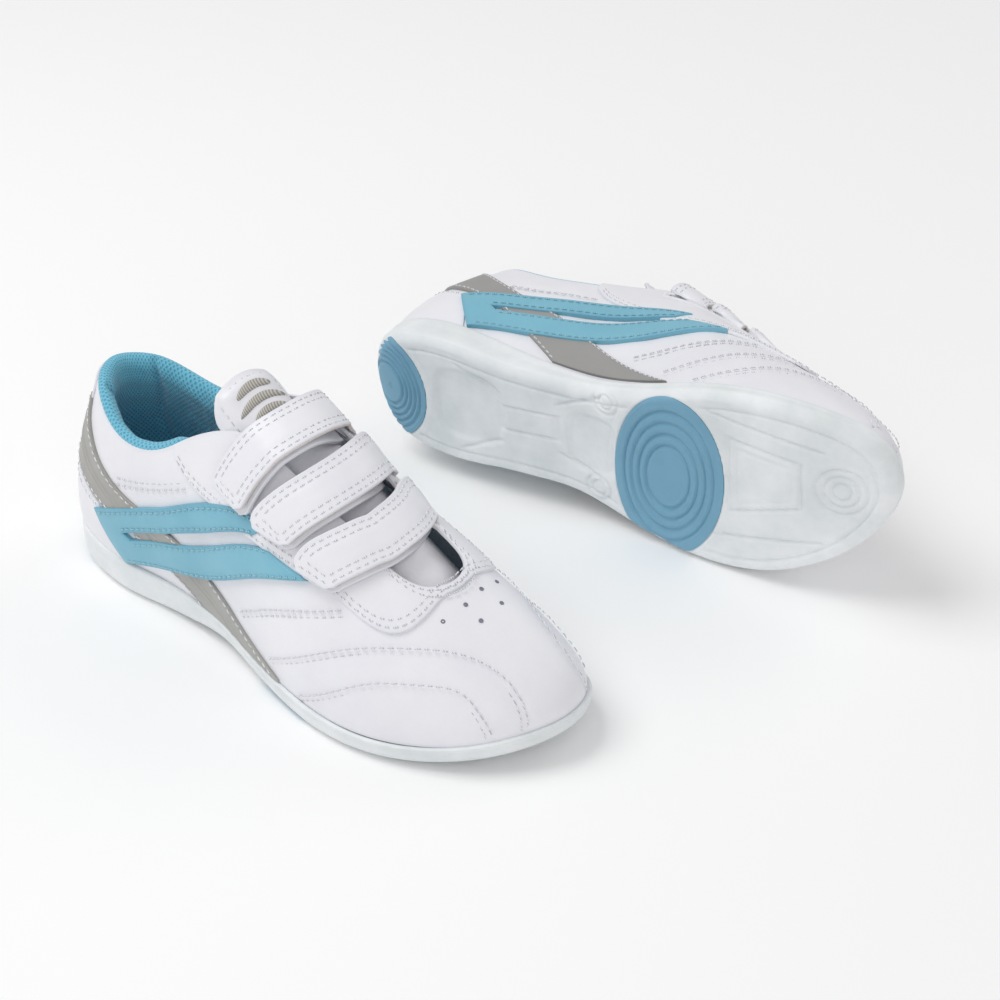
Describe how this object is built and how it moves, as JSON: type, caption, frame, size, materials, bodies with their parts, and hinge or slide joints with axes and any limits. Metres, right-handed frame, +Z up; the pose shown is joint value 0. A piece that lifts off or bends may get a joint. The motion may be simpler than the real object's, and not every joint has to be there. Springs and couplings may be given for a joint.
{
  "type": "cheer shoes",
  "caption": "Pair of low cheer shoes with forked side stripes, hook-and-loop straps over a padded tongue, and a cupped sole with round tread pads.",
  "frame": {"origin": "middle of the pair's footprint, on the floor", "axes": "+Z up, +X from the right shoe's heel towards its toe, +Y from the right shoe towards the left shoe"},
  "size_m": [0.3044, 0.2906, 0.1127],
  "materials": {
    "white_leather": "smooth coated leather",
    "blue_leather": "smooth coated leather",
    "silver_leather": "satin coated leather",
    "grey_leather": "satin coated leather",
    "white_rubber": "matte",
    "blue_rubber": "matte",
    "board": "fibre board",
    "counter_board": "stiffener",
    "blue_fabric": "knitted mesh",
    "lining_fabric": "woven",
    "embroidery": "satin stitch",
    "tape": "hook and loop",
    "white_plastic": "gloss"
  },
  "bodies": {
    "right_shoe": {"right_heel_pad": "blue_rubber", "right_forefoot_pad": "blue_rubber", "right_outsole": "white_rubber", "right_insole_board": "board", "right_insock": "blue_fabric", "right_quarter_outer": "white_leather", "right_quarter_inner": "white_leather", "right_vamp": "white_leather", "right_throat_overlay": "white_leather", "right_back_tab": "white_leather", "right_heel_foxing": "white_leather", "right_band_outer": "silver_leather", "right_band_inner": "grey_leather", "right_fork_outer": "blue_leather", "right_fork_inner": "blue_leather", "right_heel_counter": "counter_board", "right_toe_puff": "counter_board", "right_collar_lining": "blue_fabric", "right_vamp_lining": "lining_fabric", "right_strap_bases": "white_leather", "right_loop_tapes": "tape", "right_slot_frames": "white_plastic"},
    "left_shoe": {"left_heel_pad": "blue_rubber", "left_forefoot_pad": "blue_rubber", "left_outsole": "white_rubber", "left_insole_board": "board", "left_insock": "blue_fabric", "left_quarter_outer": "white_leather", "left_quarter_inner": "white_leather", "left_vamp": "white_leather", "left_throat_overlay": "white_leather", "left_back_tab": "white_leather", "left_heel_foxing": "white_leather", "left_band_outer": "silver_leather", "left_band_inner": "grey_leather", "left_fork_outer": "blue_leather", "left_fork_inner": "blue_leather", "left_heel_counter": "counter_board", "left_toe_puff": "counter_board", "left_collar_lining": "blue_fabric", "left_vamp_lining": "lining_fabric", "left_strap_bases": "white_leather", "left_loop_tapes": "tape", "left_slot_frames": "white_plastic"},
    "right_tongue_flap": {"right_tongue": "white_leather", "right_tongue_motif": "embroidery"},
    "right_strap_1_top": {"right_strap_1": "white_leather", "right_hook_tape_1": "tape"},
    "right_strap_2_top": {"right_strap_2": "white_leather", "right_hook_tape_2": "tape"},
    "right_strap_3_top": {"right_strap_3": "white_leather", "right_hook_tape_3": "tape"},
    "left_tongue_flap": {"left_tongue": "white_leather", "left_tongue_motif": "embroidery"},
    "left_strap_1_top": {"left_strap_1": "white_leather", "left_hook_tape_1": "tape"},
    "left_strap_2_top": {"left_strap_2": "white_leather", "left_hook_tape_2": "tape"},
    "left_strap_3_top": {"left_strap_3": "white_leather", "left_hook_tape_3": "tape"}
  },
  "joints": [
    {"name": "left_shoe_lift", "type": "slide", "parent": "right_shoe", "child": "left_shoe", "axis": [0, 0, 1], "range_m": [0, 0.15]},
    {"name": "right_strap_1_peel", "type": "hinge", "parent": "right_shoe", "child": "right_strap_1_top", "pos_m": [-0.02891, -0.07499, 0.0965], "axis": [-0.9413, 0.1883, 0.2803], "range_deg": [0, 130]},
    {"name": "right_strap_2_peel", "type": "hinge", "parent": "right_shoe", "child": "right_strap_2_top", "pos_m": [-0.00564, -0.07569, 0.08609], "axis": [-0.8476, 0.1102, 0.5191], "range_deg": [0, 130]},
    {"name": "right_strap_3_peel", "type": "hinge", "parent": "right_shoe", "child": "right_strap_3_top", "pos_m": [0.01713, -0.0768, 0.07471], "axis": [-0.8303, 0.0913, 0.5498], "range_deg": [0, 130]},
    {"name": "right_tongue_tip", "type": "hinge", "parent": "right_shoe", "child": "right_tongue_flap", "pos_m": [0.03252, -0.09486, 0.0565], "axis": [0, -1, 0], "range_deg": [0, 6]},
    {"name": "left_strap_1_peel", "type": "hinge", "parent": "left_shoe", "child": "left_strap_1_top", "pos_m": [0.00604, 0.1294, 0.07395], "axis": [0.9777, -0.1384, -0.1578], "range_deg": [0, 130]},
    {"name": "left_strap_2_peel", "type": "hinge", "parent": "left_shoe", "child": "left_strap_2_top", "pos_m": [0.03052, 0.12224, 0.07373], "axis": [0.914, -0.3927, -0.1016], "range_deg": [0, 130]},
    {"name": "left_strap_3_peel", "type": "hinge", "parent": "left_shoe", "child": "left_strap_3_top", "pos_m": [0.05465, 0.11408, 0.07303], "axis": [0.9003, -0.4268, -0.0858], "range_deg": [0, 130]},
    {"name": "left_tongue_tip", "type": "hinge", "parent": "left_shoe", "child": "left_tongue_flap", "pos_m": [0.07312, 0.09949, 0.05458], "axis": [-0.0425, -0.076, 0.9962], "range_deg": [0, 6]}
  ]
}
